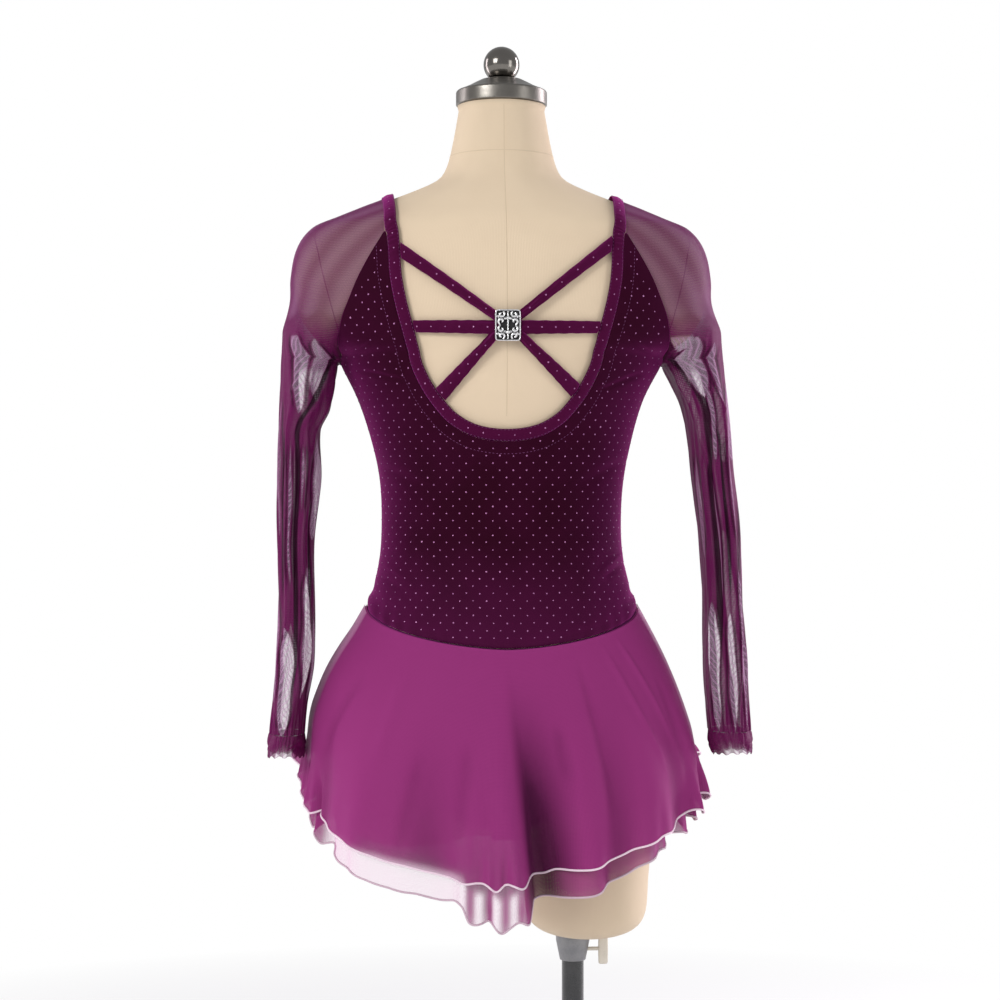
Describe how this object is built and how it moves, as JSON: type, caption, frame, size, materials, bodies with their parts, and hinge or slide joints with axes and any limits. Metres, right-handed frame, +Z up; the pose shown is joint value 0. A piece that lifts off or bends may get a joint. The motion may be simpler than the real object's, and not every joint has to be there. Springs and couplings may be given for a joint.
{
  "type": "figure skating dress on a dress form stand",
  "caption": "Long-sleeved skating dress with sheer raglan sleeves, strapped open back and layered short skirt, on a limbless dress form with a pole stand.",
  "frame": {"origin": "on the floor, at the underside of the base plate, under the middle plane of the dress", "axes": "+Z up, +Y towards the front of the dress, +X towards the wearer's right; the open back faces -Y"},
  "size_m": [0.4835, 0.36, 1.253],
  "materials": {
    "velvet": "dark purple stretch velvet with foil dots",
    "power_mesh": "sheer dark purple power mesh",
    "chiffon": "magenta chiffon, two sheer layers",
    "thread": "pale pink rolled thread edge",
    "linen": "beige linen over the form",
    "steel": "polished steel",
    "silver": "antiqued silver filigree",
    "black_metal": "black gloss",
    "collar_metal": "grey",
    "screw_plastic": "cream"
  },
  "bodies": {
    "stand": {"base_plate": "black_metal", "pole": "black_metal"},
    "form": {"form_torso": "linen", "neck_cap": "steel", "finial": "steel", "pole_collar": "collar_metal", "bodice_back": "velvet", "bodice_front": "velvet", "neckline_binding": "velvet", "strap_upper_right": "velvet", "strap_middle_right": "velvet", "strap_lower_right": "velvet", "strap_upper_left": "velvet", "strap_middle_left": "velvet", "strap_lower_left": "velvet", "strap_bead": "silver", "sleeve_right": "power_mesh", "sleeve_left": "power_mesh", "cuff_right": "power_mesh", "cuff_left": "power_mesh", "skirt_over": "chiffon", "skirt_under": "chiffon", "hem_over": "thread", "hem_under": "thread", "brief": "velvet"},
    "clamp_screw": {"clamp_screw": "screw_plastic"}
  },
  "joints": [
    {"name": "form_height_slide", "type": "slide", "parent": "stand", "child": "form", "axis": [0, 0, 1], "range_m": [-0.1, 0.15]},
    {"name": "clamp_screw_turn", "type": "hinge", "parent": "form", "child": "clamp_screw", "pos_m": [0.0715, 0, 0.3504], "axis": [1, 0, 0], "range_deg": [0, 720]}
  ]
}
